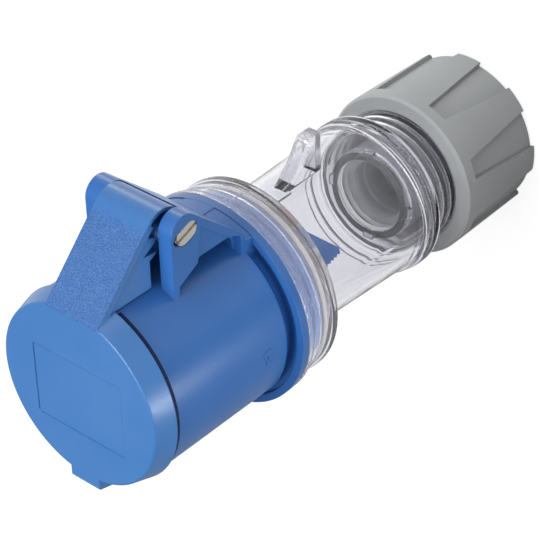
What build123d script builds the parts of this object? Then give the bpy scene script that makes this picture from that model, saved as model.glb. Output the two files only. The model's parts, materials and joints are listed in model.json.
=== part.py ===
from build123d import *
import os
from math import asin, atan2, cos, hypot, radians, sin, sqrt, tan

# Industrial coupler, 16 A, two poles and earth: a blue socket front with a sprung lid, a clear rear
# housing and a ribbed grey gland nut. It stands on the nut's end face. Z is the coupler's axis, with the
# lid on top, and the hinge is towards +Y. Angles round the axis are counted from +Y towards +X.

# Clearances
running_gap = 0.3
seat_gap = 0.1
pin_gap = 0.06
radius_match = 0.001

# Gland nut
nut_length = 29.4
nut_collar_radius = 22.5
nut_collar_length = 3.9
nut_end_radius = 22.0
nut_end_wall = 6.5
nut_edge = 0.7
nut_rib_count = 8
panel_turn = 1.0
panel_depth = 1.2
panel_cut_depth = 2.4
panel_front_width = 5.4
panel_rear_width = 10.4
cable_hole_radius = 8.5
thread_gap = 0.5

# Neck, clamp cage and cable seal
neck_radius = 17.3
neck_bore_radius = 16.0
mouth_radius = 12.2
neck_reach = 12.4
neck_exposed = 9.8
neck_edge = 0.6
pressure_ring_thickness = 2.5
pressure_ring_edge = 0.5
cage_wall = 2.0
cage_rim_radius = 16.6
cage_rim_thickness = 1.6
cage_slot_count = 8
cage_slot_width = 1.2
cage_slot_length = 7.0
snap_tab_count = 4
snap_tab_width = 3.0
snap_tab_height = 1.2
snap_tab_reach = 0.9
seal_bore_radius = 8.0
seal_lip_count = 3
seal_lip_depth = 0.7
seal_groove_start = 0.25
seal_groove_end = 0.75
seal_setback = 2.5

# Clear housing
rear_flange_radius = 21.3
rear_flange_length = 3.0
rear_groove_length = 0.6
rear_rim_radius = 20.8
rear_rim_length = 1.9
floor_wall = 1.8
tube_length = 40.7
tube_rear_radius = 20.0
tube_front_radius = 18.5
tube_wall = 1.7
floor_ledge_width = 1.3
floor_ledge_height = 0.7
ring_radius = 25.8
ring_length = 11.8
rear_bead_radius = 26.4
rear_bead_length = 1.9
front_bead_radius = 27.4
front_bead_length = 2.2
middle_rib_radius = 26.2
middle_rib_length = 0.7
bead_round = 0.5
shoulder_wall = 2.0

# Hanging lug on the tube
lug_width = 3.6
lug_top_height = 29.9
lug_top_length = 4.5
lug_rear_setback = 23.2
lug_rear_strut = 2.0
lug_front_foot = 14.6
lug_knee_height = 24.5
lug_knee_forward = 3.5
lug_bar = 2.4
lug_window_drop = 0.8
lug_window_foot = 4.8
lug_foot_width = 5.4
lug_foot_length = 5.0
lug_foot_height = 0.7

# Front shell
seal_ring_thickness = 1.2
seal_ring_width = 2.2
collar_radius = 22.6
collar_bore_radius = 20.2
collar_rib_radius = 23.2
collar_rib_length = 1.4
collar_rib_pitch = 2.9
collar_rib_count = 2
root_radius = 24.6
root_length = 1.6
lip_radius = 27.5
lip_length = 2.2
lip_inner_radius = 25.6
lip_floor = 0.7
groove_radius = 22.9
barrel_rise = 2.2
barrel_radius = 24.5
barrel_bore_radius = 21.8
barrel_length = 37.8
spigot_radius = 22.7
spigot_length = 1.8
carrier_seat_drop = 3.4
keyway_bulge_width = 9.2
keyway_bulge_height = 26.6
keyway_width = 6.0
keyway_height = 24.4
keyway_length = 34.0
keyway_bulge_round = 1.2

# Hinge, ears and roof
hinge_height = 36.3
hinge_setback = 16.0
knuckle_radius = 6.2
arm_width = 16.2
ear_side_gap = 0.6
ear_thickness = 4.05
left_ear_thickness = 5.1
ear_front = 2.3
ear_top_round = 4.3
ear_rear_setback = 0.3
ear_front_post = 1.7
ear_rear_post = 1.4
arch_beam = 1.85
arch_drop = 4.05
arch_ramp = 7.8
arch_rear_slope = 2.6
web_recess = 0.6
web_beam = 2.0
web_front_setback = 8.5
web_foot_setback = 5.4
roof_slope = 41.1
roof_gap = 0.3
roof_thickness = 2.0
roof_start = 2.0
platform_height = 27.45
platform_right = 1.2
platform_left = -8.0
sill_drop = 0.15
pin_radius = 1.6
pin_head_length = 6.7
pin_head_width = 4.7
pin_head_tilt = 20.0
pin_head_setback = 2.95
pin_head_rise = 0.15
pin_head_depth = 3.0
pin_head_recess = 0.3
pin_slot_width = 0.9
pin_slot_depth = 0.7

# Lid
lid_gap = 0.4
lid_depth = 5.9
lid_radius = 23.65
lid_round = 0.6
skirt_radius = 25.2
skirt_gap = 0.6
lid_wall = 2.3
lid_seal_width = 2.2
chord_height = 22.05
arm_plate = 2.0
arm_lip = 0.4
arm_lip_thickness = 0.9
arm_wall = 1.3
arm_rear_setback = 4.4
arm_corner_round = 1.5
knuckle_rim = 0.9
knuckle_rim_reach = 4.5
knuckle_inset = 2.5
pin_boss_radius = 2.2
pin_boss_setback = 0.3
bump_width = 9.2
bump_front_height = 25.7
bump_rear_height = 27.2
panel_width = 27.6
panel_height = 20.2
panel_drop = 1.3
panel_recess = 0.25
panel_corner = 0.8

# Fork in the arm's side walls, as Y and Z from the hinge
fork_root = (0.7, 5.2)
fork_upper_tip = (-0.3, 2.4)
fork_upper_end = (-1.4, 2.1)
fork_notch = (-3.7, 6.3)
fork_lower_tip = (-4.2, 1.8)
fork_lower_end = (-5.4, 4.0)

# Lid spring
coil_radius = 3.7
wire_radius = 0.5
spring_leg_radius = 0.4
coil_turns = 8
coil_overlap = 0.04
coil_room = 0.5
spring_leg_length = 9.0
spring_ledge = 1.2
spring_ledge_length = 2.4

# Contacts, carrier and terminal block
pitch_radius = 9.8
pole_radius = 3.6
pole_bore = 2.5
earth_radius = 4.2
earth_bore = 3.0
contact_recess = 3.0
contact_bore_depth = 30.0
contact_slit_width = 0.7
contact_slit_length = 16.0
carrier_radius = 18.4
carrier_base_thickness = 4.0
carrier_recess = 7.5
carrier_rear_length = 5.9
entry_gap = 0.3
entry_flare = 0.8
block_radius = 16.0
block_length = 10.0
wire_hole_radius = 2.0
wire_hole_depth = 8.0
wire_entry_radius = 2.4
contact_tail = 3.0
screw_radius = 1.5
screw_height = 6.0
screw_slot_width = 0.6
screw_slot_depth = 0.6
marker_thickness = 0.9
marker_length = 5.6
marker_height = 3.6
marker_width = 5.0
guide_angle = 56.5
guide_outer = 14.7
guide_thickness = 1.8
guide_near_edge = 5.2
guide_far_edge = 4.2
guide_near_length = 2.4
guide_top_length = 9.6
guide_tip_length = 9.0
guide_top_far_edge = 2.8
guide_tooth_count = 5
guide_tooth_depth = 0.8
guide_tooth_lean = 0.6

# Heights along the axis
nut_front_z = nut_length
neck_end_z = nut_front_z - neck_reach
flange_z = nut_front_z + neck_exposed
groove_z = flange_z + rear_flange_length
rim_z = groove_z + rear_groove_length
tube_z = rim_z + rear_rim_length
floor_z = flange_z + floor_wall
shoulder_z = tube_z + tube_length
seat_z = shoulder_z + shoulder_wall
ring_front_z = shoulder_z + ring_length
lip_z = ring_front_z + running_gap
lip_front_z = lip_z + lip_length
barrel_z = lip_front_z + barrel_rise
mouth_z = barrel_z + barrel_length
spigot_z = mouth_z + spigot_length
skirt_z = mouth_z + lid_gap
lid_z = skirt_z + lid_depth
lid_inner_z = lid_z - lid_wall
seal_ring_top_z = seat_z + seal_ring_thickness
collar_z = seal_ring_top_z + seat_gap
carrier_seat_z = barrel_z - carrier_seat_drop - lip_length
carrier_front_z = spigot_z - carrier_recess
carrier_rear_z = carrier_seat_z - carrier_rear_length
block_front_z = carrier_rear_z - seat_gap
block_rear_z = block_front_z - block_length
contact_front_z = carrier_front_z - contact_recess
contact_rear_z = block_rear_z + contact_tail
screw_z = block_rear_z + screw_height

# Radii and widths that follow from the fits
nut_bore_radius = neck_radius + thread_gap
cage_radius = mouth_radius - seat_gap
ring_bore_radius = collar_rib_radius + running_gap
ring_mouth_radius = root_radius + running_gap
skirt_bore_radius = spigot_radius + skirt_gap
ear_inner = arm_width / 2 + ear_side_gap
ear_outer = ear_inner + ear_thickness
left_ear_outer = ear_inner + left_ear_thickness
ear_foot = sqrt(barrel_radius**2 - left_ear_outer**2) - running_gap

# Hinge geometry in the plane of Y and Z
hinge_z = mouth_z - hinge_setback
hinge = Vector(hinge_height, hinge_z)
hinge_axis = Axis((0, hinge_height, hinge_z), (1, 0, 0))
roof_out = Vector(cos(radians(roof_slope)), -sin(radians(roof_slope)))
roof_back = Vector(-sin(radians(roof_slope)), -cos(radians(roof_slope)))
roof_foot = hinge + roof_out * (knuckle_radius + roof_gap)
chord = Vector(chord_height, lid_z)
chord_reach = hypot(hinge.X - chord.X, hinge.Y - chord.Y)
plate_angle = atan2(hinge.Y - chord.Y, hinge.X - chord.X) + asin(knuckle_radius / chord_reach)
plate_along = Vector(cos(plate_angle), sin(plate_angle))
plate_out = Vector(-plate_along.Y, plate_along.X)
plate_length = sqrt(chord_reach**2 - knuckle_radius**2)

# The contacts: name, angle round the axis, outer radius and pin bore radius
contacts = (
    ("contact_line", -60, pole_radius, pole_bore),
    ("contact_neutral", 60, pole_radius, pole_bore),
    ("contact_earth", 180, earth_radius, earth_bore),
)
markers = (("marker_line", 21), ("marker_neutral", 42.5), ("marker_earth", 150))


def polar(angle, radius):
    """A point at an angle from +Y towards +X."""
    return radius * sin(radians(angle)), radius * cos(radians(angle))


def radial_plane(angle, radius, z):
    """A plane that faces outward, with its X along the turn and its Y towards the gland."""
    x, y = polar(angle, radius)
    out_x, out_y = polar(angle, 1)
    return Plane(origin=(x, y, z), x_dir=(out_y, -out_x, 0), z_dir=(out_x, out_y, 0))


def outline(plane, *points):
    """A flat face with straight edges through the points."""
    with BuildSketch(plane) as flat:
        with BuildLine():
            Polyline(*points, close=True)
        make_face()
    return flat.sketch


def disc(plane, radius):
    """A round face."""
    with BuildSketch(plane) as flat:
        Circle(radius)
    return flat.sketch


def roof_point(back, depth=0.0):
    """A point on the roof's slope, counted back from the hinge and down into the plate."""
    point = roof_foot + roof_back * back - roof_out * depth
    return point.X, point.Y


def plate_point(along, depth=0.0):
    """A point on the lid arm's plate, counted from the chord and down into the plate."""
    point = chord + plate_along * along - plate_out * depth
    return point.X, point.Y


def from_hinge(place):
    """A point that is counted from the hinge."""
    return hinge.X + place[0], hinge.Y + place[1]


def round_edges(shape, radius):
    """The circular edges of one radius about the coupler's axis."""
    rims = shape.edges().filter_by(GeomType.CIRCLE)
    return rims.filter_by(lambda rim: abs(rim.radius - radius) < radius_match)


def save(builder, name):
    """Label a finished piece and write it."""
    builder.part.label = name
    export_step(builder.part, f"parts/{name}.step")


os.makedirs("parts", exist_ok=True)

# Gland nut: a smooth front collar, then ribs that narrow towards the cable over a tapered round core
with BuildPart() as gland_nut:
    revolve(
        outline(
            Plane.XZ,
            (cable_hole_radius, 0),
            (nut_end_radius - nut_edge, 0),
            (nut_end_radius, nut_edge),
            (nut_collar_radius, nut_front_z - nut_collar_length),
            (nut_collar_radius, nut_front_z - nut_edge),
            (nut_collar_radius - nut_edge, nut_front_z),
            (nut_bore_radius + nut_edge, nut_front_z),
            (nut_bore_radius, nut_front_z - nut_edge),
            (nut_bore_radius, nut_end_wall),
            (cable_hole_radius, nut_end_wall),
        ),
        axis=Axis.Z,
    )
    panel_front = nut_collar_length - nut_front_z
    for panel in range(nut_rib_count):
        panel_angle = (panel + 0.5) * 360 / nut_rib_count + panel_turn
        extrude(
            outline(
                radial_plane(panel_angle, nut_end_radius - panel_cut_depth, 0),
                (-panel_rear_width / 2, nut_edge),
                (panel_rear_width / 2, nut_edge),
                (panel_front_width / 2, panel_front),
                (-panel_front_width / 2, panel_front),
            ),
            amount=nut_collar_radius,
            mode=Mode.SUBTRACT,
        )
    core_radius = (nut_bore_radius + nut_end_radius - panel_cut_depth) / 2
    revolve(
        outline(
            Plane.XZ,
            (core_radius, 0),
            (nut_end_radius - panel_depth - nut_edge, 0),
            (nut_end_radius - panel_depth, nut_edge),
            (nut_collar_radius - panel_depth, -panel_front),
            (core_radius, -panel_front),
        ),
        axis=Axis.Z,
    )
save(gland_nut, "gland_nut")

# Pressure ring: slides in the nut and pushes on the clamp cage
pressure_ring_z = nut_end_wall + seat_gap
with BuildPart() as pressure_ring:
    with BuildSketch(Plane.XY.offset(pressure_ring_z)):
        Circle(nut_bore_radius - running_gap)
        Circle(cable_hole_radius + running_gap, mode=Mode.SUBTRACT)
    extrude(amount=pressure_ring_thickness)
    chamfer(pressure_ring.edges().group_by(Axis.Z)[-1], pressure_ring_edge)
save(pressure_ring, "pressure_ring")

# Clamp cage: a sleeve in the neck, with snap tabs at the inner mouth and slotted fingers at the nut
cage_bore_radius = cage_radius - cage_wall
cage_top_z = floor_z + seat_gap + snap_tab_height
cage_rim_z = neck_end_z - seat_gap
with BuildPart() as clamp_cage:
    revolve(
        outline(
            Plane.XZ,
            (cage_bore_radius, cage_rim_z - cage_rim_thickness),
            (cage_rim_radius, cage_rim_z - cage_rim_thickness),
            (cage_rim_radius, cage_rim_z),
            (cage_radius, cage_rim_z),
            (cage_radius, cage_top_z),
            (cage_bore_radius, cage_top_z),
        ),
        axis=Axis.Z,
    )
    for tab in range(snap_tab_count):
        with BuildSketch(radial_plane(tab * 360 / snap_tab_count, cage_bore_radius, floor_z + seat_gap)):
            with Locations((0, -snap_tab_height / 2)):
                Rectangle(snap_tab_width, snap_tab_height)
        extrude(amount=cage_wall + seat_gap + snap_tab_reach)
    for slot in range(cage_slot_count):
        slot_angle = (slot + 0.5) * 360 / cage_slot_count
        with BuildSketch(radial_plane(slot_angle, cage_bore_radius - cage_wall, cage_rim_z)):
            Rectangle(cage_slot_width, 2 * cage_slot_length)
        extrude(amount=cage_rim_radius, mode=Mode.SUBTRACT)
save(clamp_cage, "clamp_cage")

# Cable seal: a soft sleeve with gripping lips
seal_radius = cage_bore_radius - seat_gap
seal_rear_z = neck_end_z
seal_front_z = floor_z - seal_setback
seal_lip_pitch = (seal_front_z - seal_rear_z) / seal_lip_count
with BuildPart() as gland_seal:
    with BuildSketch(Plane.XY.offset(seal_rear_z)):
        Circle(seal_radius)
        Circle(seal_bore_radius, mode=Mode.SUBTRACT)
    extrude(amount=seal_front_z - seal_rear_z)
    for lip in range(seal_lip_count):
        groove_low = seal_rear_z + (lip + seal_groove_start) * seal_lip_pitch
        groove_high = seal_rear_z + (lip + seal_groove_end) * seal_lip_pitch
        revolve(
            outline(
                Plane.XZ,
                (seal_bore_radius - seal_lip_depth, groove_low),
                (seal_bore_radius + seal_lip_depth, groove_low + seal_lip_depth),
                (seal_bore_radius + seal_lip_depth, groove_high - seal_lip_depth),
                (seal_bore_radius - seal_lip_depth, groove_high),
            ),
            axis=Axis.Z,
            mode=Mode.SUBTRACT,
        )
save(gland_seal, "gland_seal")

# Clear housing: ring, shoulder, tapered tube, rear flange and neck in one moulding, with a hanging lug
tube_taper = (tube_rear_radius - tube_front_radius) / tube_length
tube_inner_radius = tube_rear_radius - tube_wall
lug_rear_z = shoulder_z - lug_rear_setback
lug_top_z = lug_rear_z + lug_top_length
lug_foot_z = shoulder_z - lug_rear_setback + lug_front_foot
lug_root = tube_front_radius - lug_foot_height
middle_z = (shoulder_z + rear_bead_length + ring_front_z - front_bead_length) / 2
with BuildPart() as clear_housing:
    revolve(
        outline(
            Plane.XZ,
            (neck_bore_radius, neck_end_z),
            (neck_radius - neck_edge, neck_end_z),
            (neck_radius, neck_end_z + neck_edge),
            (neck_radius, flange_z),
            (rear_flange_radius, flange_z),
            (rear_flange_radius, groove_z),
            (tube_rear_radius, groove_z),
            (tube_rear_radius, rim_z),
            (rear_rim_radius, rim_z),
            (rear_rim_radius, tube_z),
            (tube_rear_radius, tube_z),
            (tube_front_radius, shoulder_z),
            (rear_bead_radius, shoulder_z),
            (rear_bead_radius, shoulder_z + rear_bead_length),
            (ring_radius, shoulder_z + rear_bead_length),
            (ring_radius, middle_z - middle_rib_length / 2),
            (middle_rib_radius, middle_z - middle_rib_length / 2),
            (middle_rib_radius, middle_z + middle_rib_length / 2),
            (ring_radius, middle_z + middle_rib_length / 2),
            (ring_radius, ring_front_z - front_bead_length),
            (front_bead_radius, ring_front_z - front_bead_length),
            (front_bead_radius, ring_front_z),
            (ring_mouth_radius, ring_front_z),
            (ring_mouth_radius, lip_z - root_length - running_gap),
            (ring_bore_radius, lip_z - root_length - running_gap),
            (ring_bore_radius, seat_z),
            (tube_front_radius - tube_wall, seat_z),
            (tube_inner_radius, floor_z + floor_ledge_height),
            (tube_inner_radius - floor_ledge_width, floor_z + floor_ledge_height),
            (tube_inner_radius - floor_ledge_width, floor_z),
            (mouth_radius, floor_z),
            (mouth_radius, flange_z),
            (neck_bore_radius, flange_z),
        ),
        axis=Axis.Z,
    )
    for bead_radius in (rear_flange_radius, rear_rim_radius, rear_bead_radius, front_bead_radius):
        fillet(round_edges(clear_housing, bead_radius), bead_round)
    extrude(
        outline(
            Plane.YZ,
            (lug_root, lug_rear_z),
            (lug_top_height, lug_rear_z),
            (lug_top_height, lug_top_z),
            (lug_knee_height, lug_top_z + lug_knee_forward),
            (lug_root, lug_foot_z),
        ),
        amount=lug_width / 2,
        both=True,
    )
    extrude(
        outline(
            Plane.YZ,
            (lug_root, lug_foot_z - lug_foot_length / 2),
            (tube_front_radius + lug_foot_height, lug_foot_z - lug_foot_length / 2),
            (tube_front_radius + lug_foot_height, lug_foot_z + lug_foot_length / 2),
            (lug_root, lug_foot_z + lug_foot_length / 2),
        ),
        amount=lug_foot_width / 2,
        both=True,
    )
    tube_at_lug = tube_front_radius + tube_taper * lug_rear_setback
    extrude(
        outline(
            Plane.YZ,
            (tube_at_lug, lug_rear_z + lug_rear_strut),
            (lug_top_height - lug_bar, lug_rear_z + lug_rear_strut),
            (lug_top_height - lug_bar, lug_top_z - lug_window_drop),
            (lug_knee_height - lug_bar, lug_top_z + lug_knee_forward - lug_window_drop),
            (tube_at_lug, lug_foot_z - lug_window_foot),
        ),
        amount=lug_width,
        both=True,
        mode=Mode.SUBTRACT,
    )
save(clear_housing, "clear_housing")

# Housing seal: a flat ring on the shoulder, under the front shell's collar
with BuildPart() as housing_seal:
    with BuildSketch(Plane.XY.offset(seat_z)):
        Circle(ring_bore_radius - seat_gap)
        Circle(ring_bore_radius - seat_gap - seal_ring_width, mode=Mode.SUBTRACT)
    extrude(amount=seal_ring_thickness)
save(housing_seal, "housing_seal")

# Front shell: barrel, lip and collar turned in one, then keyway, ears and roof
barrel_chamfer = barrel_radius - groove_radius
collar_rib_z = collar_z + collar_rib_length
pin_head = hinge + Vector(pin_head_rise, -pin_head_setback)
head_plane = Plane(
    origin=(ear_outer, pin_head.X, pin_head.Y),
    x_dir=(0, sin(radians(pin_head_tilt)), -cos(radians(pin_head_tilt))),
    z_dir=(1, 0, 0),
)
ear_front_z = hinge_z + ear_front
ear_rear_z = barrel_z + ear_rear_setback
ear_top_back = (roof_foot.Y - ear_front_z) / cos(radians(roof_slope))
ear_rear_back = (roof_foot.Y - ear_rear_z) / cos(radians(roof_slope))
arch_rear_z = ear_rear_z + ear_rear_post
arch_front_z = ear_front_z - ear_front_post
arch_top_z = arch_rear_z + arch_rear_slope
arch_height = roof_foot.X - (roof_foot.Y - arch_top_z) * tan(radians(roof_slope)) - arch_beam
platform_front_z = roof_foot.Y - (roof_foot.X - platform_height) / tan(radians(roof_slope))
sill_radius = platform_height - sill_drop
sill_front_z = roof_foot.Y - (roof_foot.X - sill_radius) / tan(radians(roof_slope))
web_top_back = (roof_foot.Y - hinge_z + web_front_setback) / cos(radians(roof_slope))
with BuildPart() as front_shell:
    revolve(
        outline(
            Plane.XZ,
            (0, collar_z),
            (collar_radius, collar_z),
            (collar_radius, lip_z - root_length),
            (root_radius, lip_z - root_length),
            (root_radius, lip_z),
            (lip_radius, lip_z),
            (lip_radius, lip_front_z),
            (lip_inner_radius, lip_front_z),
            (lip_inner_radius, lip_z + lip_floor),
            (groove_radius, lip_z + lip_floor),
            (groove_radius, barrel_z - barrel_chamfer),
            (barrel_radius, barrel_z),
            (barrel_radius, mouth_z),
            (spigot_radius, mouth_z),
            (spigot_radius, spigot_z),
            (0, spigot_z),
        ),
        axis=Axis.Z,
    )
    for rib in range(collar_rib_count):
        with BuildSketch(Plane.XY.offset(collar_rib_z + rib * collar_rib_pitch)):
            Circle(collar_rib_radius)
        extrude(amount=collar_rib_length)
    with BuildSketch(Plane.XY.offset(barrel_z)):
        with Locations((0, -keyway_bulge_height / 2)):
            Rectangle(keyway_bulge_width, keyway_bulge_height)
        bulge_corners = vertices().group_by(Axis.Y)[0]
        fillet(bulge_corners, keyway_bulge_round)
    extrude(amount=barrel_length)
    for ear_start, ear_width in ((ear_inner, ear_thickness), (-left_ear_outer, left_ear_thickness)):
        with BuildSketch(Plane.YZ.offset(ear_start)) as ear:
            with BuildLine():
                Polyline(
                    (ear_foot, ear_front_z),
                    roof_point(ear_top_back),
                    roof_point(ear_rear_back),
                    (ear_foot, ear_rear_z),
                    close=True,
                )
            make_face()
            fillet(ear.vertices().sort_by(Axis.X)[-1], ear_top_round)
            with BuildLine():
                Polyline(
                    (0, arch_rear_z),
                    (arch_height - arch_rear_slope / 2, arch_rear_z),
                    (arch_height, arch_top_z),
                    (arch_height, arch_front_z - arch_ramp),
                    (arch_height - arch_drop, arch_front_z),
                    (0, arch_front_z),
                    close=True,
                )
            make_face(mode=Mode.SUBTRACT)
        extrude(amount=ear_width)
    roof_half = ear_inner + ear_thickness / 2
    extrude(
        outline(
            Plane.YZ,
            roof_point(roof_start),
            roof_point(ear_rear_back),
            (ear_foot, ear_rear_z),
            (ear_foot, arch_rear_z),
            roof_point(ear_rear_back - ear_rear_post / cos(radians(roof_slope)), roof_thickness),
            roof_point(roof_start, roof_thickness),
        ),
        amount=roof_half,
        both=True,
    )
    with BuildSketch(Plane.XY.offset(lip_z)):
        with Locations(((platform_left + platform_right) / 2, platform_height / 2)):
            Rectangle(platform_right - platform_left, platform_height)
        Circle(platform_height, mode=Mode.INTERSECT)
    extrude(amount=platform_front_z - lip_z)
    with BuildSketch(Plane.XY.offset(lip_z)):
        with Locations((0, sill_radius / 2)):
            Rectangle(2 * ear_outer, sill_radius)
        Circle(sill_radius, mode=Mode.INTERSECT)
    extrude(amount=sill_front_z - lip_z)
    for web_side in (Plane.YZ.offset(ear_outer - web_recess), Plane.YZ.offset(-left_ear_outer)):
        extrude(
            outline(
                web_side,
                roof_point(web_top_back, web_beam),
                roof_point(ear_rear_back - ear_rear_post, web_beam),
                (arch_height - arch_rear_slope, arch_rear_z + ear_rear_post),
                (arch_height - arch_rear_slope, hinge_z - web_foot_setback),
            ),
            amount=web_recess,
            mode=Mode.SUBTRACT,
        )
    extrude(
        disc(Plane(origin=(0, hinge_height, hinge_z), z_dir=(1, 0, 0)), knuckle_radius + roof_gap),
        amount=ear_inner,
        both=True,
        mode=Mode.SUBTRACT,
    )
    extrude(
        disc(Plane(origin=(0, hinge_height, hinge_z), z_dir=(1, 0, 0)), pin_radius + pin_gap),
        amount=left_ear_outer,
        both=True,
        mode=Mode.SUBTRACT,
    )
    with BuildSketch(head_plane):
        SlotOverall(pin_head_length + 2 * pin_gap, pin_head_width + 2 * pin_gap)
    extrude(amount=-pin_head_depth, mode=Mode.SUBTRACT)
    with BuildSketch(Plane.XY.offset(collar_z)):
        Circle(collar_bore_radius)
    extrude(amount=carrier_seat_z - collar_z, mode=Mode.SUBTRACT)
    with BuildSketch(Plane.XY.offset(carrier_seat_z)):
        Circle(barrel_bore_radius)
    extrude(amount=spigot_z - carrier_seat_z, mode=Mode.SUBTRACT)
    with BuildSketch(Plane.XY.offset(spigot_z)):
        with Locations((0, -keyway_height / 2)):
            Rectangle(keyway_width, keyway_height)
    extrude(amount=-keyway_length, mode=Mode.SUBTRACT)
save(front_shell, "front_shell")

# Hinge pin: round through both ears, with a flat slotted head in the right one
head_inner = ear_outer - pin_head_depth + pin_gap
head_face_plane = head_plane.offset(-pin_head_recess)
with BuildPart() as hinge_pin:
    with BuildSketch(Plane(origin=(-left_ear_outer + web_recess, hinge_height, hinge_z), z_dir=(1, 0, 0))):
        Circle(pin_radius)
    extrude(amount=left_ear_outer - web_recess + head_inner + pin_gap)
    with BuildSketch(head_face_plane):
        SlotOverall(pin_head_length, pin_head_width)
    extrude(amount=-(pin_head_depth - pin_head_recess - pin_gap))
    with BuildSketch(head_face_plane):
        Rectangle(pin_head_length, pin_slot_width)
    extrude(amount=-pin_slot_depth, mode=Mode.SUBTRACT)
save(hinge_pin, "hinge_pin")

# Lid spring: close turns round the pin, one leg down to the barrel and one along the lid's arm
coil_pitch = 2 * wire_radius - coil_overlap
coil_length = (coil_turns - 1) * coil_pitch
shell_leg_plane = Plane(
    origin=(coil_length / 2, hinge_height + wire_radius, hinge_z + coil_radius),
    z_dir=(0, -1, 0),
)
lid_leg_start = hinge + plate_out * coil_radius + plate_along * wire_radius
lid_leg_plane = Plane(
    origin=(-coil_length / 2, lid_leg_start.X, lid_leg_start.Y),
    z_dir=(0, -plate_along.X, -plate_along.Y),
)
with BuildPart() as lid_spring:
    with BuildSketch(Plane.XY.offset(hinge_z)):
        with GridLocations(coil_pitch, 1, coil_turns, 1):
            with Locations((0, hinge_height + coil_radius)):
                Circle(wire_radius)
    revolve(axis=hinge_axis)
    shell_leg_length = hinge_height + wire_radius - barrel_radius - running_gap
    extrude(disc(shell_leg_plane, spring_leg_radius), amount=shell_leg_length)
    extrude(disc(lid_leg_plane, spring_leg_radius), amount=spring_leg_length)
save(lid_spring, "lid_spring")

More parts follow.
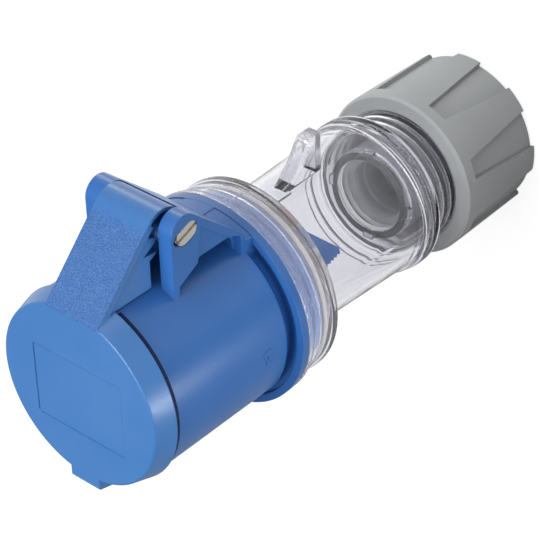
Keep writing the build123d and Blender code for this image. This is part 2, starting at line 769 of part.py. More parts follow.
# Lid: a flat cap with a keyway bump, and a hollow arm with forked sides that ends in the hinge knuckle
arm_half = arm_width / 2
knuckle_plane = Plane(origin=(0, hinge_height, hinge_z), z_dir=(1, 0, 0))
arm_rear_z = hinge_z + arm_rear_setback
arm_foot = skirt_bore_radius * cos(asin(arm_half / skirt_radius))
pocket_half = coil_length / 2 + wire_radius + coil_room
pocket_radius = coil_radius + wire_radius + coil_room
ledge_depth = knuckle_radius - coil_radius + wire_radius + seat_gap
ledge_along = plate_length - spring_leg_length
hollow_end = plate_length - knuckle_radius
with BuildPart() as lid:
    with BuildSketch(Plane.XZ) as cap:
        with BuildLine():
            Polyline(
                (0, lid_z),
                (lid_radius, lid_z),
                (skirt_radius, skirt_z),
                (0, skirt_z),
                close=True,
            )
        make_face()
        fillet(cap.vertices().group_by(Axis.Y)[-1].sort_by(Axis.X)[-1], lid_round)
    revolve(axis=Axis.Z)
    extrude(
        outline(
            Plane.YZ,
            (-bump_front_height, lid_z),
            (-bump_rear_height, skirt_z),
            (0, skirt_z),
            (0, lid_z),
        ),
        amount=bump_width / 2,
        both=True,
    )
    fillet(lid.edges().filter_by(Axis.X).group_by(Axis.Y)[0], lid_round)
    with BuildSketch(Plane.YZ) as arm:
        with BuildLine():
            Polyline(
                (0, skirt_z),
                (arm_foot, skirt_z),
                (arm_foot, arm_rear_z),
                (hinge_height, arm_rear_z),
                plate_point(plate_length, arm_lip_thickness),
                plate_point(0, arm_lip_thickness),
                close=True,
            )
        make_face()
        fillet(arm.vertices().sort_by_distance((arm_foot, arm_rear_z))[0], arm_corner_round)
    extrude(amount=arm_half - arm_lip, both=True)
    extrude(
        outline(
            Plane.YZ,
            plate_point(0),
            plate_point(plate_length),
            plate_point(plate_length, arm_plate),
            plate_point(0, arm_plate),
        ),
        amount=arm_half,
        both=True,
    )
    extrude(disc(knuckle_plane, knuckle_radius), amount=arm_half - knuckle_inset, both=True)
    with BuildSketch(Plane.YZ):
        with Locations((hinge_height, hinge_z)):
            Circle(knuckle_radius)
            Circle(knuckle_radius - knuckle_rim, mode=Mode.SUBTRACT)
        with Locations((hinge_height + knuckle_radius, hinge_z)):
            Rectangle(2 * knuckle_rim_reach, 2 * knuckle_radius, mode=Mode.INTERSECT)
    extrude(amount=arm_half, both=True)
    extrude(disc(knuckle_plane, pin_boss_radius), amount=arm_half - pin_boss_setback, both=True)
    fork_depth = knuckle_inset - arm_lip
    for fork_side in (arm_half - knuckle_inset, arm_lip - arm_half):
        extrude(
            outline(
                Plane.YZ.offset(fork_side),
                from_hinge(fork_upper_end),
                from_hinge(fork_notch),
                from_hinge(fork_lower_tip),
            ),
            amount=fork_depth,
            mode=Mode.SUBTRACT,
        )
        extrude(
            outline(
                Plane.YZ.offset(fork_side),
                from_hinge(fork_root),
                from_hinge(fork_upper_tip),
                from_hinge(fork_upper_end),
                from_hinge(fork_notch),
                from_hinge(fork_lower_tip),
                from_hinge(fork_lower_end),
                (hinge.X + fork_lower_end[0], hinge.Y + fork_notch[1] + arm_wall),
                (hinge.X + fork_root[0], hinge.Y + fork_notch[1] + arm_wall),
            ),
            amount=fork_depth,
        )
    extrude(
        outline(
            Plane.YZ,
            plate_point(0),
            plate_point(hollow_end),
            plate_point(hollow_end, -lid_wall),
            plate_point(0, -lid_wall),
        ),
        amount=arm_half,
        both=True,
        mode=Mode.SUBTRACT,
    )
    with BuildSketch(Plane.XY.offset(skirt_z)):
        Circle(barrel_radius + running_gap)
    extrude(amount=-(skirt_z - arm_rear_z + knuckle_radius), mode=Mode.SUBTRACT)
    extrude(
        outline(
            Plane.YZ,
            (arm_foot, skirt_z),
            plate_point((lid_z - skirt_z) / -plate_along.Y, arm_plate),
            plate_point(hollow_end, arm_plate),
            (hinge_height - knuckle_radius, arm_rear_z),
            (hinge_height - knuckle_radius, arm_rear_z - knuckle_radius),
            (arm_foot, arm_rear_z - knuckle_radius),
        ),
        amount=arm_half - arm_lip - arm_wall,
        both=True,
        mode=Mode.SUBTRACT,
    )
    extrude(disc(knuckle_plane, pocket_radius), amount=pocket_half, both=True, mode=Mode.SUBTRACT)
    extrude(
        outline(
            Plane.YZ,
            (hinge_height, hinge_z - pocket_radius),
            (hinge_height, hinge_z),
            plate_point(plate_length, arm_plate),
            plate_point(hollow_end, arm_plate),
            (hinge_height - knuckle_radius, arm_rear_z),
            (hinge_height - 2 * knuckle_radius, hinge_z - pocket_radius),
        ),
        amount=pocket_half,
        both=True,
        mode=Mode.SUBTRACT,
    )
    extrude(
        outline(
            Plane.YZ,
            plate_point(ledge_along, ledge_depth),
            plate_point(ledge_along + spring_ledge_length, ledge_depth),
            plate_point(ledge_along + spring_ledge_length, ledge_depth + spring_ledge),
            plate_point(ledge_along, ledge_depth + spring_ledge),
        ),
        amount=arm_half - arm_lip - arm_wall / 2,
        both=True,
    )
    extrude(disc(knuckle_plane, pin_radius + pin_gap), amount=arm_half, both=True, mode=Mode.SUBTRACT)
    with BuildSketch(Plane.XY.offset(skirt_z)):
        Circle(skirt_bore_radius)
    extrude(amount=lid_inner_z - skirt_z, mode=Mode.SUBTRACT)
    with BuildSketch(Plane.XY.offset(lid_z)):
        with Locations((0, -panel_drop)):
            RectangleRounded(panel_width, panel_height, panel_corner)
    extrude(amount=-panel_recess, mode=Mode.SUBTRACT)
save(lid, "lid")

# Lid seal: a soft ring inside the cap that meets the barrel's mouth
lid_seal_z = spigot_z + seat_gap
with BuildPart() as lid_seal:
    with BuildSketch(Plane.XY.offset(lid_seal_z)):
        Circle(skirt_bore_radius - seat_gap)
        Circle(skirt_bore_radius - seat_gap - lid_seal_width, mode=Mode.SUBTRACT)
    extrude(amount=lid_inner_z - lid_seal_z)
save(lid_seal, "lid_seal")

# Contact carrier: the insert that the plug's collar slides over
carrier_base_radius = barrel_bore_radius - seat_gap
with BuildPart() as contact_carrier:
    revolve(
        outline(
            Plane.XZ,
            (0, carrier_rear_z),
            (collar_bore_radius - seat_gap, carrier_rear_z),
            (collar_bore_radius - seat_gap, carrier_seat_z),
            (carrier_base_radius, carrier_seat_z),
            (carrier_base_radius, carrier_seat_z + carrier_base_thickness),
            (carrier_radius, carrier_seat_z + carrier_base_thickness),
            (carrier_radius, carrier_front_z),
            (0, carrier_front_z),
        ),
        axis=Axis.Z,
    )
    chamfer(round_edges(contact_carrier, carrier_radius).sort_by(Axis.Z)[-1], nut_edge)
    for name, angle, radius, bore in contacts:
        with BuildSketch(Plane.XY.offset(carrier_rear_z)):
            with Locations(polar(angle, pitch_radius)):
                Circle(radius + seat_gap)
        extrude(amount=contact_front_z + seat_gap - carrier_rear_z, mode=Mode.SUBTRACT)
        with Locations((*polar(angle, pitch_radius), (contact_front_z + carrier_front_z) / 2)):
            Cone(bore + entry_gap, bore + entry_gap + entry_flare, contact_recess, mode=Mode.SUBTRACT)
save(contact_carrier, "contact_carrier")

# Contacts: brass sleeves, slit at the mouth, with a clamped wire hole at the tail
for name, angle, radius, bore in contacts:
    with BuildPart() as contact:
        with BuildSketch(Plane.XY.offset(contact_rear_z)):
            with Locations(polar(angle, pitch_radius)):
                Circle(radius)
        extrude(amount=contact_front_z - contact_rear_z)
        with BuildSketch(Plane.XY.offset(contact_front_z)):
            with Locations(polar(angle, pitch_radius)):
                Circle(bore)
        extrude(amount=-contact_bore_depth, mode=Mode.SUBTRACT)
        with BuildSketch(Plane.XY.offset(contact_front_z)):
            with Locations(polar(angle, pitch_radius)):
                Rectangle(2 * radius, contact_slit_width)
        extrude(amount=-contact_slit_length, mode=Mode.SUBTRACT)
        with BuildSketch(Plane.XY.offset(contact_rear_z)):
            with Locations(polar(angle, pitch_radius)):
                Circle(wire_hole_radius)
        extrude(amount=wire_hole_depth, mode=Mode.SUBTRACT)
        extrude(
            disc(radial_plane(angle, pitch_radius, screw_z), screw_radius + pin_gap),
            amount=2 * radius,
            mode=Mode.SUBTRACT,
        )
    save(contact, name)

# Terminal block: the grey rear block with wire entries, screw holes and seats for the colour tags
marker_z = block_rear_z + marker_height
with BuildPart() as terminal_block:
    with BuildSketch(Plane.XY.offset(block_rear_z)):
        Circle(block_radius)
    extrude(amount=block_length)
    for name, angle, radius, bore in contacts:
        with BuildSketch(Plane.XY.offset(block_front_z)):
            with Locations(polar(angle, pitch_radius)):
                Circle(radius + seat_gap)
        extrude(amount=contact_rear_z - seat_gap - block_front_z, mode=Mode.SUBTRACT)
        with BuildSketch(Plane.XY.offset(block_rear_z)):
            with Locations(polar(angle, pitch_radius)):
                Circle(wire_entry_radius)
        extrude(amount=contact_tail, mode=Mode.SUBTRACT)
        extrude(
            disc(radial_plane(angle, pitch_radius, screw_z), screw_radius + seat_gap),
            amount=block_radius,
            mode=Mode.SUBTRACT,
        )
    for name, angle in markers:
        with BuildSketch(radial_plane(angle, block_radius - marker_thickness - seat_gap, marker_z)):
            Rectangle(marker_width + 2 * seat_gap, marker_length + 2 * seat_gap)
        extrude(amount=block_radius, mode=Mode.SUBTRACT)
save(terminal_block, "terminal_block")

# Terminal screws: three slotted screws that clamp the wires
with BuildPart() as terminal_screws:
    for name, angle, radius, bore in contacts:
        screw_start = pitch_radius + wire_hole_radius
        screw_length = block_radius - marker_thickness - screw_start
        with BuildSketch(radial_plane(angle, screw_start, screw_z)):
            Circle(screw_radius)
        extrude(amount=screw_length)
        with BuildSketch(radial_plane(angle, screw_start + screw_length, screw_z)):
            Rectangle(screw_slot_width, 2 * screw_radius)
        extrude(amount=-screw_slot_depth, mode=Mode.SUBTRACT)
save(terminal_screws, "terminal_screws")

# Colour tags on the block's rim
for name, angle in markers:
    with BuildPart() as marker:
        with BuildSketch(radial_plane(angle, block_radius - marker_thickness, marker_z)):
            Rectangle(marker_width, marker_length)
        extrude(amount=block_radius)
        with BuildSketch(Plane.XY.offset(block_rear_z)):
            Circle(block_radius)
        extrude(amount=block_length, mode=Mode.INTERSECT)
    save(marker, name)

# Serrated wire guide: a slanting blue plate behind the block, toothed along its far edge
with BuildPart() as serrated_guide:
    guide_plane = radial_plane(guide_angle, guide_outer, block_rear_z - seat_gap)
    tip = Vector(guide_far_edge, guide_tip_length)
    tooth_step = (Vector(guide_near_edge, guide_near_length) - tip) / guide_tooth_count
    teeth = []
    for tooth in range(guide_tooth_count):
        crest = tip + tooth_step * tooth
        root = crest + tooth_step * guide_tooth_lean - Vector(guide_tooth_depth, 0)
        teeth += [(crest.X, crest.Y), (root.X, root.Y)]
    extrude(
        outline(
            guide_plane,
            (-guide_near_edge, 0),
            (-guide_near_edge, guide_near_length),
            (guide_top_far_edge, guide_top_length),
            *teeth,
            (guide_near_edge, guide_near_length),
            (guide_near_edge, 0),
        ),
        amount=-guide_thickness,
    )
save(serrated_guide, "serrated_guide")
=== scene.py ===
import json
import math

import bmesh
import bpy
from mathutils import Matrix, Vector


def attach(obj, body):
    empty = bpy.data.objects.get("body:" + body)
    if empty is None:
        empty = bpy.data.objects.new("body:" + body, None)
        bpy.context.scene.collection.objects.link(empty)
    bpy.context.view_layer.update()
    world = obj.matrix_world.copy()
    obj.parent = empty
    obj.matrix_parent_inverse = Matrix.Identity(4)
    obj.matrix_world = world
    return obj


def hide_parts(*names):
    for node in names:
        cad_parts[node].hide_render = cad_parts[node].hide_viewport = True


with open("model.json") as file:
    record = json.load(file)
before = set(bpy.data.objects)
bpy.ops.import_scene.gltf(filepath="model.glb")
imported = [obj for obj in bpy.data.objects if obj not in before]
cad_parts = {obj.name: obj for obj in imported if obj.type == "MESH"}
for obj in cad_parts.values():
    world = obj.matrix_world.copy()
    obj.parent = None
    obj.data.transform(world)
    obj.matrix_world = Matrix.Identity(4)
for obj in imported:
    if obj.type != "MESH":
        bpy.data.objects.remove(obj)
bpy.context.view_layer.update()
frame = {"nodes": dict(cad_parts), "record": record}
scene = bpy.context.scene
nodes = frame["nodes"]

ORIGIN = Vector((0.0, 0.0, 0.0))
X_AXIS = Vector((1.0, 0.0, 0.0))
Y_AXIS = Vector((0.0, 1.0, 0.0))
Z_AXIS = Vector((0.0, 0.0, 1.0))
WHITE = (1.0, 1.0, 1.0, 1.0)

# Places and sizes on the coupler, in metres
FLANGE = 0.0392
NECK_RADIUS = 0.0173
NECK_END = 0.0170
BARREL_RADIUS = 0.0245
RING_RADIUS = 0.0258
RING_BACK = 0.086
LUG_FOOT = Vector((0.0, 0.0185, 0.0695))
LUG_HALF = 0.0029
LUG_REACH = 0.0085
PLATE_EDGE = Vector((0.0, 0.02205, 0.146))
PLATE_OUT = Vector((0.0, 0.6930, 0.7209))
PLATE_ALONG = Vector((0.0, -0.7209, 0.6930))
HINGE = Vector((0.0, 0.0363, 0.1237))
HINGE_AXIS = X_AXIS

# Thread on the neck
THREAD_PITCH = 0.003
THREAD_STEPS = 64
THREAD_FADE = THREAD_STEPS / 3
THREAD_ROOT = NECK_RADIUS - 0.00005
THREAD_CREST = NECK_RADIUS + 0.0004
THREAD_LOW = NECK_END + 0.0015
THREAD_HIGH = FLANGE - 0.0012
THREAD_ROOT_HALF = 0.0009
THREAD_CREST_HALF = 0.00035

# Painted shadow behind the lid's rim: a thin dark lip that stands in for the shaded gap there, given by its
# profile as radius and height, and its arcs in degrees
GAP_SHADOW_PROFILE = ((0.02453, 0.13880), (0.02475, 0.13885), (0.02490, 0.14010), (0.02453, 0.14010))
GAP_SHADOW_STEPS = 96
GAP_SHADOW_ARCS = {"lid_lip_right": (-77.0, 70.0), "lid_lip_left": (110.0, 257.0)}

# Lid spring round the hinge: points of the barrel's leg from the hinge, and lengths along the lid's leg
COIL_RADIUS = 0.0037
COIL_HALF = 0.00336
COIL_TURNS = 7
COIL_STEPS = 32
COIL_WIRE = 0.0005
LEG_WIRE = 0.0004
WIRE_CORNERS = 10
SHELL_LEG = (
    Vector((COIL_HALF, 0.0, COIL_RADIUS)),
    Vector((COIL_HALF, -0.0006, 0.00535)),
    Vector((COIL_HALF, -0.0024, 0.00535)),
)
LID_LEG_START = HINGE - HINGE_AXIS * COIL_HALF + PLATE_OUT * COIL_RADIUS
LID_LEG = (0.0028, 0.0085)

# Moulded marks, with points given as the length round the wall from +X and the height
RIDGE_ROOT = 0.0001
RING_LINE = ((0.0399, 0.0889), (0.0398, 0.0936))
RING_LINE_WIDTH = 0.00035
RING_LINE_RISE = 0.0003
ARROW_PATH = (
    (0.00195, 0.1074),
    (0.00215, 0.1083),
    (0.00205, 0.1092),
    (0.00145, 0.1099),
    (0.0006, 0.1097),
    (-0.0003, 0.1089),
)
ARROW_BARBS = ((0.0004, 0.1080), (-0.0013, 0.1093))
ARROW_TIP = ((-0.00140, 0.1073), (-0.00145, 0.1073))
ARROW_WIDTH = 0.0005
ARROW_RISE = 0.00015

# Looks that several materials share; noise scales are per metre
BEVEL_SAMPLES = 6
MOULD_EDGE = 0.0003
PIN_EDGE = 0.0002
RUBBER_EDGE = 0.0002
METAL_EDGE = 0.00015
CLOUD_SCALE = 60
POLISH_SCALE = 700
GRAIN_SCALE = 2600
GRAIN_DEPTH = 0.0002
UNIT = (0.0, 1.0)
UNIT_DOWN = (1.0, 0.0)
CLOUD_RANGE = (0.35, 0.65)
POLISH_RANGE = (0.3, 0.7)

# Lid: its smooth colours, the rough plate's dark blue with lighter speckles that paint glints, its
# roughness, and where the rough plate begins, in metres
LID_SMOOTH = ((67, 121, 186), (73, 125, 188))
LID_ROUGH_AND_GLINT = ((42, 98, 170), (94, 138, 194))
LID_POLISH = (0.28, 0.34)
PLATE_DEPTH = (-0.0004, -0.0001)
PLATE_START = (0.0005, 0.0035)
GLINT_PAINT_RANGE = (0.38, 0.78)
SPARKLE_STRENGTH = (0.06, 1.0)
SPARKLE_DEPTH = 0.0003

# Clear plastic: it is a little hazy on the ring and the lug, and matt on the neck
CLEAR_IOR = 1.42
CLEAR_TRANSMISSION = (1.0, 0.88)
RING_FADE = 0.003
LUG_FADE = 0.0002
NECK_FADE = (FLANGE - 0.0004, FLANGE - 0.0001)
NECK_MATT = (0.35, 0.0)
CLEAR_POLISH_SCALE = 250
FLOW_SCALE = 160
FLOW_STRENGTH = 0.05
FLOW_DEPTH = 0.0005
LAMP_TINT = (0.9, 0.9, 0.92, 1.0)

# Rubber
RUBBER_SPECULAR = 0.2
RUBBER_CLOUD_SCALE = 300
RUBBER_POLISH_SCALE = 900
RUBBER_POLISH = (0.55, 0.7)
RUBBER_GRAIN_SCALE = 3000
RUBBER_GRAIN = 0.1

# Metal
METAL_CLOUD_SCALE = 500
METAL_POLISH_SCALE = 1500
METAL_GRAIN_SCALE = 4000
METAL_GRAIN = 0.05
METAL_GRAIN_DEPTH = 0.0001

# Finishes by the record's slots: material name, two display colours, roughness range, grain, edge
MOULDED_FINISHES = {
    "front_shell": ("shell_blue", (51, 108, 180), (55, 112, 184), (0.28, 0.34), 0.06, MOULD_EDGE),
    "contact_carrier": ("carrier_blue", (50, 100, 172), (54, 104, 177), (0.4, 0.5), 0.08, MOULD_EDGE),
    "gland_nut": ("nut_grey", (176, 179, 180), (181, 184, 185), (0.42, 0.52), 0.15, MOULD_EDGE),
    "pressure_ring": ("ring_grey", (120, 122, 124), (128, 130, 132), (0.4, 0.5), 0.08, MOULD_EDGE),
    "hinge_pin": ("pin_pale", (200, 195, 185), (206, 201, 192), (0.3, 0.4), 0.06, PIN_EDGE),
    "terminal_block": ("block_grey", (186, 184, 178), (192, 190, 184), (0.4, 0.5), 0.06, MOULD_EDGE),
    "marker_line": ("marker_brown", (140, 95, 70), (148, 103, 78), (0.4, 0.5), 0.06, MOULD_EDGE),
    "marker_neutral": ("marker_blue", (60, 100, 160), (68, 108, 168), (0.4, 0.5), 0.06, MOULD_EDGE),
    "marker_earth": ("marker_green", (70, 130, 60), (80, 140, 66), (0.4, 0.5), 0.06, MOULD_EDGE),
    "serrated_guide": ("guide_blue", (46, 90, 148), (52, 96, 155), (0.4, 0.5), 0.06, MOULD_EDGE),
}

# Material name and two display colours
RUBBER_FINISHES = {
    "gland_seal": ("seal_grey", (166, 168, 170), (174, 176, 178)),
    "housing_seal": ("seal_pale", (186, 184, 178), (192, 190, 184)),
    # The lid seal's navy is painted shade: the blue of the shadowed gap behind the lid's rim, used on the
    # seal and on the lip pieces that paint that gap
    "lid_seal": ("seal_dark", (16, 34, 74), (20, 40, 82)),
}

# Material name, two display colours and roughness range
METAL_FINISHES = {
    "lid_spring": ("spring_steel", (170, 170, 172), (185, 185, 188), (0.2, 0.32)),
    "contact": ("contact_brass", (200, 165, 95), (210, 178, 110), (0.2, 0.3)),
    "terminal_screws": ("screw_steel", (120, 120, 122), (140, 140, 143), (0.25, 0.4)),
}

# Material name, linear colour and roughness range
CLEAR_FINISHES = {
    "clamp_cage": ("clear_cage", (0.94, 0.94, 0.95, 1.0), (0.02, 0.06)),
    "clear_housing": ("clear_polycarbonate", (0.81, 0.81, 0.85, 1.0), (0.015, 0.04)),
}

# Camera at the photograph's place
LENS_MM = 156.0
SENSOR_MM = 36.0
CLIP_NEAR = 0.01
CLIP_FAR = 20.0
CAMERA_RIGHT = Vector((0.75515, -0.0251, -0.6551))
CAMERA_BACK = Vector((0.5445, 0.5804, 0.6055))
CAMERA_PLACE = Vector((0.31087, 0.32948, 0.4255))

# Lamps: name, place, target, width, height, power in watts, spread in degrees
CENTRE = (0.0, 0.0, 0.08)
LAMPS = (
    ("key", (0.0, 0.15, 1.2), CENTRE, 0.6, 0.6, 11.5, 180.0),
    ("top", (-0.04, 0.6, 0.16), CENTRE, 0.3, 0.4, 0.7, 180.0),
    ("low", (-0.115, 0.15, 0.025), (0.0, 0.03, 0.08), 0.2, 0.04, 0.1, 180.0),
    ("side", (0.3, 0.05, 0.45), (0.0, 0.0, 0.12), 0.3, 0.3, 0.2, 180.0),
    ("strip", (0.2, -0.02, 0.09), (0.02, 0.0, 0.135), 0.05, 0.12, 0.038, 75.0),
)

# World and floor; both are dimmer in reflections on the side away from the hinge
HINGE_SIDE = (-0.41, 0.91, 0.0)
WORLD_SPAN = (-1.0, 1.0)
WORLD_LEVEL = (0.02, 0.45)
FLOOR_SPAN = (-0.02, 0.03)
FLOOR_LEVEL = (0.15, 1.0)
FLOOR_GREY = (0.25, 0.25, 0.25, 1.0)
FLOOR_GLOW = 0.84
FLOOR_HALF = 3.0


def linear(red, green, blue):
    """A display colour of 0 to 255 as the shader's linear colour."""
    out = []
    for value in (red, green, blue):
        share = value / 255
        out.append(share / 12.92 if share <= 0.04045 else ((share + 0.055) / 1.055) ** 2.4)
    return (*out, 1.0)


class Graph:
    """A shader's nodes, put together one by one."""

    def __init__(self, tree, coordinates):
        self.tree = tree
        self.place = self.add("ShaderNodeTexCoord").outputs[coordinates]

    def add(self, kind):
        return self.tree.nodes.new(kind)

    def link(self, source, target):
        self.tree.links.new(source, target)

    def feed(self, value, socket):
        """Links another node's output to a socket, or sets a constant on it."""
        if isinstance(value, bpy.types.NodeSocket):
            self.link(value, socket)
        else:
            socket.default_value = value

    def noise(self, scale, detail, roughness=0.5):
        node = self.add("ShaderNodeTexNoise")
        node.inputs["Scale"].default_value = scale
        node.inputs["Detail"].default_value = detail
        node.inputs["Roughness"].default_value = roughness
        self.link(self.place, node.inputs["Vector"])
        return node.outputs["Fac"]

    def span(self, source, before, after):
        """Maps one range of values to another."""
        node = self.add("ShaderNodeMapRange")
        node.inputs["From Min"].default_value = before[0]
        node.inputs["From Max"].default_value = before[1]
        node.inputs["To Min"].default_value = after[0]
        node.inputs["To Max"].default_value = after[1]
        self.link(source, node.inputs["Value"])
        return node.outputs["Result"]

    def mix(self, factor, first, second):
        node = self.add("ShaderNodeMix")
        node.data_type = "RGBA"
        self.feed(first, node.inputs["A"])
        self.feed(second, node.inputs["B"])
        self.link(factor, node.inputs["Factor"])
        return node.outputs["Result"]

    def math(self, operation, first, second=0.0):
        node = self.add("ShaderNodeMath")
        node.operation = operation
        self.feed(first, node.inputs[0])
        self.feed(second, node.inputs[1])
        return node.outputs["Value"]

    def along(self, direction, origin):
        """How far a point lies along a direction from an origin."""
        shift = self.add("ShaderNodeVectorMath")
        shift.operation = "SUBTRACT"
        shift.inputs[1].default_value = origin
        self.link(self.place, shift.inputs[0])
        dot = self.add("ShaderNodeVectorMath")
        dot.operation = "DOT_PRODUCT"
        dot.inputs[1].default_value = direction
        self.link(shift.outputs["Vector"], dot.inputs[0])
        return dot.outputs["Value"]

    def rays(self):
        return self.add("ShaderNodeLightPath").outputs


class Surface(Graph):
    """A procedural material of the part."""

    def __init__(self, name):
        self.material = bpy.data.materials.new(name)
        self.material.use_nodes = True
        super().__init__(self.material.node_tree, "Object")
        self.shader = self.tree.nodes["Principled BSDF"]
        self.normal = None

    def set(self, name, value):
        self.feed(value, self.shader.inputs[name])

    def soften(self, radius):
        """Rounds the edges where faces meet."""
        node = self.add("ShaderNodeBevel")
        node.samples = BEVEL_SAMPLES
        node.inputs["Radius"].default_value = radius
        self.normal = node.outputs["Normal"]
        self.set("Normal", self.normal)

    def bump(self, height, strength, distance):
        """Raises a height pattern on top of the softened edges."""
        node = self.add("ShaderNodeBump")
        self.feed(strength, node.inputs["Strength"])
        node.inputs["Distance"].default_value = distance
        self.link(height, node.inputs["Height"])
        self.link(self.normal, node.inputs["Normal"])
        self.normal = node.outputs["Normal"]
        self.set("Normal", self.normal)

    def cloud(self, scale):
        return self.span(self.noise(scale, detail=3.0), CLOUD_RANGE, UNIT)

    def tint(self, scale, first, second):
        self.set("Base Color", self.mix(self.cloud(scale), linear(*first), linear(*second)))

    def polish(self, scale, roughness):
        return self.span(self.noise(scale, detail=2.0), POLISH_RANGE, roughness)


def make_moulded(name, first, second, roughness, grain, edge):
    """Satin moulded plastic with a fine spark-eroded grain."""
    surface = Surface(name)
    surface.tint(CLOUD_SCALE, first, second)
    surface.set("Roughness", surface.polish(POLISH_SCALE, roughness))
    surface.soften(edge)
    surface.bump(surface.noise(GRAIN_SCALE, detail=1.0), grain, GRAIN_DEPTH)
    return surface.material


def make_lid_blue():
    """Blue plastic whose sloping plate has a coarse grain with lighter speckles painted in as glints, and
    whose knuckle is smooth.
    """
    surface = Surface("lid_blue")
    surface.soften(MOULD_EDGE)
    plate = surface.span(surface.along(PLATE_OUT, PLATE_EDGE), PLATE_DEPTH, UNIT)
    flat = surface.span(surface.along(PLATE_ALONG, HINGE), PLATE_START, UNIT)
    rough_area = surface.math("MULTIPLY", plate, flat)
    grain = surface.noise(GRAIN_SCALE, detail=2.0, roughness=0.6)
    # The lighter speckles on the rough plate are painted glints of its textured surface; the grain's bump
    # is real
    painted_glint = surface.span(grain, GLINT_PAINT_RANGE, UNIT)
    smooth_colour = surface.mix(surface.cloud(CLOUD_SCALE), *(linear(*colour) for colour in LID_SMOOTH))
    rough_and_glint_colour = surface.mix(painted_glint, *(linear(*colour) for colour in LID_ROUGH_AND_GLINT))
    surface.set("Base Color", surface.mix(rough_area, smooth_colour, rough_and_glint_colour))
    surface.set("Roughness", surface.polish(POLISH_SCALE, LID_POLISH))
    surface.bump(grain, surface.span(rough_area, UNIT, SPARKLE_STRENGTH), SPARKLE_DEPTH)
    return surface.material


def make_clear(name, colour, roughness):
    """Clear plastic that lamps shine through, with slight flow waves from the mould."""
    surface = Surface(name)
    surface.set("IOR", CLEAR_IOR)
    surface.set("Base Color", colour)
    height = surface.along(Z_AXIS, ORIGIN)
    ring = surface.span(height, (RING_BACK - RING_FADE, RING_BACK), UNIT)
    lug = surface.span(surface.along(Y_AXIS, LUG_FOOT), (0.0, LUG_FADE), UNIT)
    for axis, reach in ((X_AXIS, LUG_HALF), (Z_AXIS, LUG_REACH)):
        distance = surface.math("ABSOLUTE", surface.along(axis, LUG_FOOT))
        lug = surface.math("MULTIPLY", lug, surface.span(distance, (reach, reach + LUG_FADE), UNIT_DOWN))
    hazy = surface.math("MAXIMUM", ring, lug)
    surface.set("Transmission Weight", surface.span(hazy, UNIT, CLEAR_TRANSMISSION))
    matt = surface.span(height, NECK_FADE, NECK_MATT)
    surface.set("Roughness", surface.math("ADD", matt, surface.polish(CLEAR_POLISH_SCALE, roughness)))
    surface.soften(MOULD_EDGE)
    surface.bump(surface.noise(FLOW_SCALE, detail=1.0), FLOW_STRENGTH, FLOW_DEPTH)
    lamp_way = surface.add("ShaderNodeBsdfTransparent")
    lamp_way.inputs["Color"].default_value = LAMP_TINT
    choice = surface.add("ShaderNodeMixShader")
    surface.link(surface.rays()["Is Shadow Ray"], choice.inputs["Fac"])
    surface.link(surface.shader.outputs["BSDF"], choice.inputs[1])
    surface.link(lamp_way.outputs["BSDF"], choice.inputs[2])
    surface.link(choice.outputs["Shader"], surface.tree.nodes["Material Output"].inputs["Surface"])
    return surface.material


def make_rubber(name, first, second):
    """Dull rubber."""
    surface = Surface(name)
    surface.set("Specular IOR Level", RUBBER_SPECULAR)
    surface.tint(RUBBER_CLOUD_SCALE, first, second)
    surface.set("Roughness", surface.polish(RUBBER_POLISH_SCALE, RUBBER_POLISH))
    surface.soften(RUBBER_EDGE)
    surface.bump(surface.noise(RUBBER_GRAIN_SCALE, detail=1.0), RUBBER_GRAIN, GRAIN_DEPTH)
    return surface.material


def make_metal(name, first, second, roughness):
    """Drawn or turned metal."""
    surface = Surface(name)
    surface.set("Metallic", 1.0)
    surface.tint(METAL_CLOUD_SCALE, first, second)
    surface.set("Roughness", surface.polish(METAL_POLISH_SCALE, roughness))
    surface.soften(METAL_EDGE)
    surface.bump(surface.noise(METAL_GRAIN_SCALE, detail=1.0), METAL_GRAIN, METAL_GRAIN_DEPTH)
    return surface.material


materials = {"lid": make_lid_blue()}
for finishes, make in (
    (MOULDED_FINISHES, make_moulded),
    (RUBBER_FINISHES, make_rubber),
    (METAL_FINISHES, make_metal),
    (CLEAR_FINISHES, make_clear),
):
    for slot, finish in finishes.items():
        materials[slot] = make(*finish)

slots = {row["node"]: row["material_slot"] for row in frame["record"]["subparts"]}
for name, node in nodes.items():
    node.data.materials.clear()
    node.data.materials.append(materials[slots[name]])


def add_piece(name, sections, body, slot, smooth=True):
    """A swept piece that moves with a body and takes one of the record's finishes."""
    mesh = swept_mesh(name, sections)
    piece = bpy.data.objects.new(name, mesh)
    scene.collection.objects.link(piece)
    for polygon in mesh.polygons:
        polygon.use_smooth = smooth
    mesh.materials.append(materials[slot])
    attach(piece, body)
    return piece


def swept_mesh(name, sections):
    """A closed bar through a row of sections that have the same number of corners."""
    work = bmesh.new()
    rows = [[work.verts.new(point) for point in section] for section in sections]
    for before, after in zip(rows, rows[1:]):
        for corner in range(len(before)):
            other = (corner + 1) % len(before)
            work.faces.new((before[corner], before[other], after[other], after[corner]))
    work.faces.new(rows[0])
    work.faces.new(list(reversed(rows[-1])))
    bmesh.ops.recalc_face_normals(work, faces=work.faces)
    mesh = bpy.data.meshes.new(name)
    work.to_mesh(mesh)
    work.free()
    return mesh


def round_point(radius, angle, z):
    return radius * math.cos(angle), radius * math.sin(angle), z


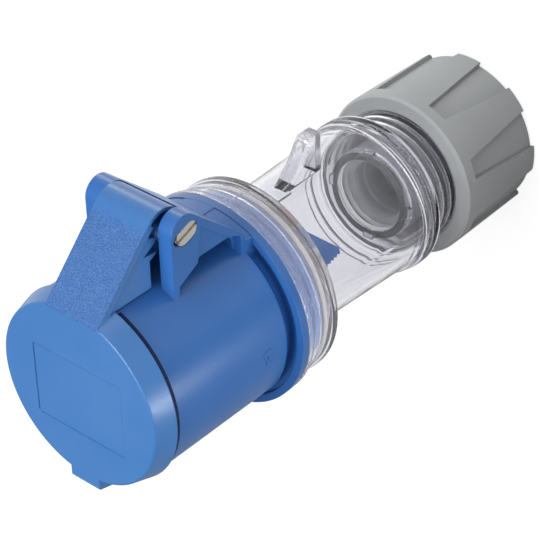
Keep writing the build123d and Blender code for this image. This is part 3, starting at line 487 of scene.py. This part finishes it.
def thread_sections():
    """A helical ridge with a flat crest and sloping flanks, which fades in at both ends."""
    count = int((THREAD_HIGH - THREAD_LOW) / THREAD_PITCH * THREAD_STEPS)
    sections = []
    for step in range(count + 1):
        angle = 2 * math.pi * step / THREAD_STEPS
        z = THREAD_LOW + THREAD_PITCH * step / THREAD_STEPS
        fade = min(1.0, step / THREAD_FADE, (count - step) / THREAD_FADE)
        top = THREAD_ROOT + (THREAD_CREST - THREAD_ROOT) * fade
        profile = (
            (THREAD_ROOT, -THREAD_ROOT_HALF),
            (top, -THREAD_CREST_HALF),
            (top, THREAD_CREST_HALF),
            (THREAD_ROOT, THREAD_ROOT_HALF),
        )
        sections.append([round_point(radius, angle, z + offset) for radius, offset in profile])
    return sections


def beside(path, width):
    """Points on both sides of a path."""
    sides = []
    for index, (turn, z) in enumerate(path):
        start = Vector(path[max(index - 1, 0)])
        end = Vector(path[min(index + 1, len(path) - 1)])
        across = (end - start).orthogonal().normalized() * width / 2
        sides.append(((turn + across.x, z + across.y), (turn - across.x, z - across.y)))
    return sides


def ridge_sections(radius, rise, sides):
    """A low ridge on a round wall, from pairs of side points."""
    root = radius - RIDGE_ROOT
    top = radius + rise
    sections = []
    for (first, first_z), (second, second_z) in sides:
        sections.append(
            [
                round_point(root, first / radius, first_z),
                round_point(top, first / radius, first_z),
                round_point(top, second / radius, second_z),
                round_point(root, second / radius, second_z),
            ]
        )
    return sections


def gap_shadow_sections(first, last):
    """A thin round dark lip behind the lid's rim, between two angles in degrees, that paints the shadow of
    the gap there.
    """
    sections = []
    for step in range(GAP_SHADOW_STEPS + 1):
        angle = math.radians(first + (last - first) * step / GAP_SHADOW_STEPS)
        sections.append([round_point(radius, angle, z) for radius, z in GAP_SHADOW_PROFILE])
    return sections


def wire_sections(path, radius):
    """Round sections of a wire, from points on it that each have a side direction across the hinge."""
    angles = [2 * math.pi * corner / WIRE_CORNERS for corner in range(WIRE_CORNERS)]
    sections = []
    for centre, side in path:
        sections.append(
            [centre + radius * (math.cos(angle) * HINGE_AXIS + math.sin(angle) * side) for angle in angles]
        )
    return sections


def coil_path():
    """Close turns round the hinge."""
    path = []
    for step in range(COIL_TURNS * COIL_STEPS + 1):
        angle = 2 * math.pi * step / COIL_STEPS
        side = Vector((0.0, math.sin(angle), math.cos(angle)))
        shift = COIL_HALF - 2 * COIL_HALF * step / (COIL_TURNS * COIL_STEPS)
        path.append((HINGE + side * COIL_RADIUS + HINGE_AXIS * shift, side))
    return path


def leg_path(points):
    """A wire through points that lie in one plane across the hinge."""
    path = []
    for index, point in enumerate(points):
        run = points[min(index + 1, len(points) - 1)] - points[max(index - 1, 0)]
        path.append((point, HINGE_AXIS.cross(run).normalized()))
    return path


add_piece("neck_thread", thread_sections(), "housing", "clear_housing")

# Moulded marks: a line on the clear ring and a curved arrow on the barrel that says which way to turn it
line_sides = beside(RING_LINE, RING_LINE_WIDTH)
line_sections = ridge_sections(RING_RADIUS, RING_LINE_RISE, line_sides)
add_piece("ring_line", line_sections, "housing", "clear_housing", smooth=False)
arrow_sides = beside(ARROW_PATH, ARROW_WIDTH) + [ARROW_BARBS, ARROW_TIP]
arrow_sections = ridge_sections(BARREL_RADIUS, ARROW_RISE, arrow_sides)
add_piece("turn_arrow", arrow_sections, "front", "front_shell", smooth=False)

# Lid spring, split at the hinge: the coil and a short leg stay on the front, and the other leg turns with
# the lid. The front's leg ends in the knuckle's opening, because a longer one would meet the open lid.
coil = add_piece("spring_coil", wire_sections(coil_path(), COIL_WIRE), "front", "lid_spring")
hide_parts("lid_spring")
shell_leg = leg_path([HINGE + point for point in SHELL_LEG])
add_piece("spring_shell_leg", wire_sections(shell_leg, LEG_WIRE), "front", "lid_spring")
lid_leg = leg_path([LID_LEG_START + PLATE_ALONG * length for length in LID_LEG])
add_piece("spring_lid_leg", wire_sections(lid_leg, LEG_WIRE), "lid", "lid_spring")

# Painted shadow: a dark lip in the lid seal's finish that rides with the lid and stands in for the shaded
# gap behind the rim, between the arm and the keyway bump
for name, arc in GAP_SHADOW_ARCS.items():
    add_piece(name, gap_shadow_sections(*arc), "lid", "lid_seal")


def add_camera():
    data = bpy.data.cameras.new("camera")
    data.lens = LENS_MM
    data.sensor_width = SENSOR_MM
    data.clip_start = CLIP_NEAR
    data.clip_end = CLIP_FAR
    camera = bpy.data.objects.new("camera", data)
    scene.collection.objects.link(camera)
    back = CAMERA_BACK.normalized()
    up = back.cross(CAMERA_RIGHT.normalized()).normalized()
    right = up.cross(back).normalized()
    turn = Matrix((right, up, back)).transposed()
    camera.matrix_world = Matrix.Translation(CAMERA_PLACE) @ turn.to_4x4()
    scene.camera = camera


def add_lamp(name, place, target, width, height, power, spread):
    data = bpy.data.lights.new(name, "AREA")
    data.shape = "RECTANGLE"
    data.size = width
    data.size_y = height
    data.energy = power
    data.spread = math.radians(spread)
    lamp = bpy.data.objects.new(name, data)
    scene.collection.objects.link(lamp)
    lamp.location = place
    lamp.rotation_euler = (Vector(place) - Vector(target)).to_track_quat("Z", "Y").to_euler()


def make_world():
    """Soft light, stronger from the hinge's side, that is white to the eye and through clear plastic."""
    world = bpy.data.worlds.new("studio")
    world.use_nodes = True
    graph = Graph(world.node_tree, "Generated")
    background = graph.tree.nodes["Background"]
    background.inputs["Color"].default_value = WHITE
    level = graph.span(graph.along(HINGE_SIDE, ORIGIN), WORLD_SPAN, WORLD_LEVEL)
    rays = graph.rays()
    seen = graph.math("MAXIMUM", rays["Is Camera Ray"], rays["Is Transmission Ray"])
    graph.link(graph.math("MAXIMUM", level, seen), background.inputs["Strength"])
    return world


def make_floor_white():
    """Pale floor, white to the eye and through clear plastic, that is dimmer in reflections on one side."""
    material = bpy.data.materials.new("floor_white")
    material.use_nodes = True
    material.node_tree.nodes.clear()
    graph = Graph(material.node_tree, "Object")
    diffuse = graph.add("ShaderNodeBsdfDiffuse")
    diffuse.inputs["Color"].default_value = FLOOR_GREY
    glow = graph.add("ShaderNodeEmission")
    level = graph.span(graph.along(HINGE_SIDE, ORIGIN), FLOOR_SPAN, FLOOR_LEVEL)
    rays = graph.rays()
    mirrored = graph.math("MULTIPLY", rays["Is Glossy Ray"], level)
    seen = graph.math("MAXIMUM", rays["Is Camera Ray"], mirrored)
    seen_through = graph.math("MAXIMUM", seen, rays["Is Transmission Ray"])
    graph.link(graph.math("MULTIPLY", seen_through, FLOOR_GLOW), glow.inputs["Strength"])
    both = graph.add("ShaderNodeAddShader")
    graph.link(diffuse.outputs["BSDF"], both.inputs[0])
    graph.link(glow.outputs["Emission"], both.inputs[1])
    output = graph.add("ShaderNodeOutputMaterial")
    graph.link(both.outputs["Shader"], output.inputs["Surface"])
    return material


def add_floor():
    corners = [(x * FLOOR_HALF, y * FLOOR_HALF, 0) for x, y in ((-1, -1), (1, -1), (1, 1), (-1, 1))]
    mesh = bpy.data.meshes.new("floor")
    mesh.from_pydata(corners, [], [(0, 1, 2, 3)])
    mesh.materials.append(make_floor_white())
    floor = bpy.data.objects.new("floor", mesh)
    scene.collection.objects.link(floor)


add_camera()
for lamp in LAMPS:
    add_lamp(*lamp)
scene.world = make_world()
add_floor()

scene.view_settings.view_transform = "Standard"
